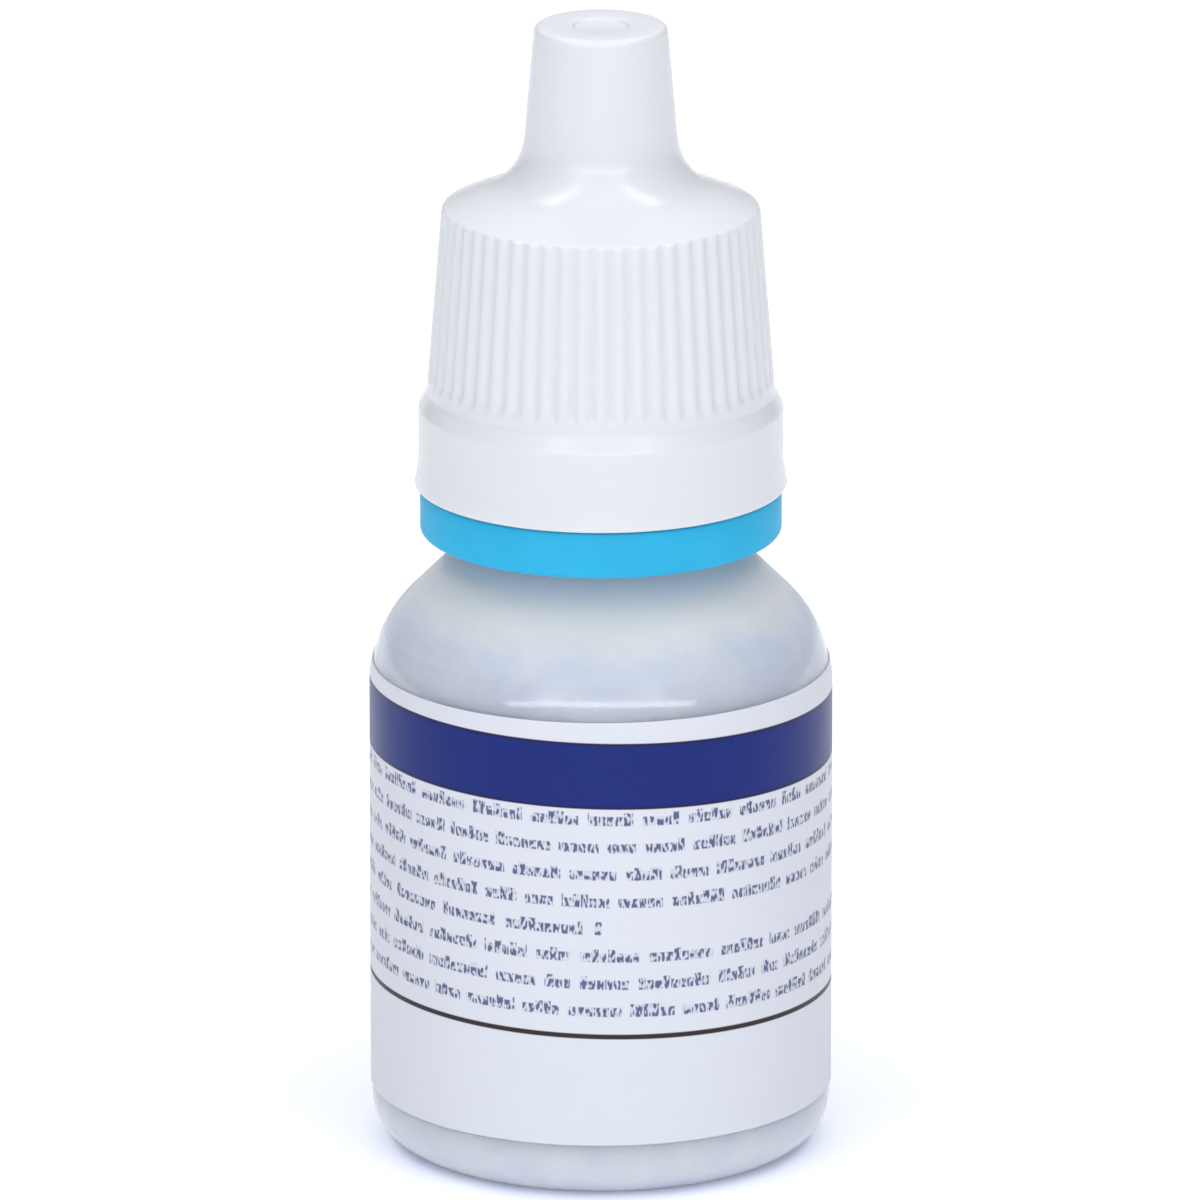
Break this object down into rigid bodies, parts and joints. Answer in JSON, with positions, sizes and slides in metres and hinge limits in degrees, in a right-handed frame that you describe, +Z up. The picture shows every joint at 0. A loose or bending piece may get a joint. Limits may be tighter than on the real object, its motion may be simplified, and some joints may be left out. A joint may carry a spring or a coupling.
{
  "type": "eye drop bottle",
  "caption": "Small round squeeze dropper bottle with a fluted screw cap, a tamper-evident ring, a dropper nozzle and a wrap-round label.",
  "frame": {"origin": "centre of the foot, on the surface that the bottle stands on", "axes": "+Z up along the common axis of the bottle, nozzle and cap; the label's seam lies at +X turned 30 degrees towards +Y"},
  "size_m": [0.0252, 0.0252, 0.0626],
  "materials": {
    "milky_polyethylene": "translucent milky, faintly frosted",
    "natural_polyethylene": "translucent natural white",
    "white_polypropylene": "smooth, softly glossy, slightly translucent",
    "sky_blue_polypropylene": "smooth satin",
    "label_film": "printed white film"
  },
  "bodies": {
    "bottle": {"bottle": "milky_polyethylene", "dropper_nozzle": "natural_polyethylene", "label": "label_film"},
    "tamper_ring": {"tamper_ring": "sky_blue_polypropylene"},
    "screw_cap": {"screw_cap": "white_polypropylene"}
  },
  "joints": [
    {"name": "cap_turn", "type": "hinge", "parent": "bottle", "child": "tamper_ring", "pos_m": [0, 0, 0.0345], "axis": [0, 0, 1], "range_deg": [0, 3060]},
    {"name": "cap_lift", "type": "slide", "parent": "tamper_ring", "child": "screw_cap", "axis": [0, 0, 1], "range_m": [0, 0.02551]}
  ],
  "couplings": [
    {"joint": "cap_lift", "follows": "cap_turn", "m_per_rad": 0.00047746}
  ]
}
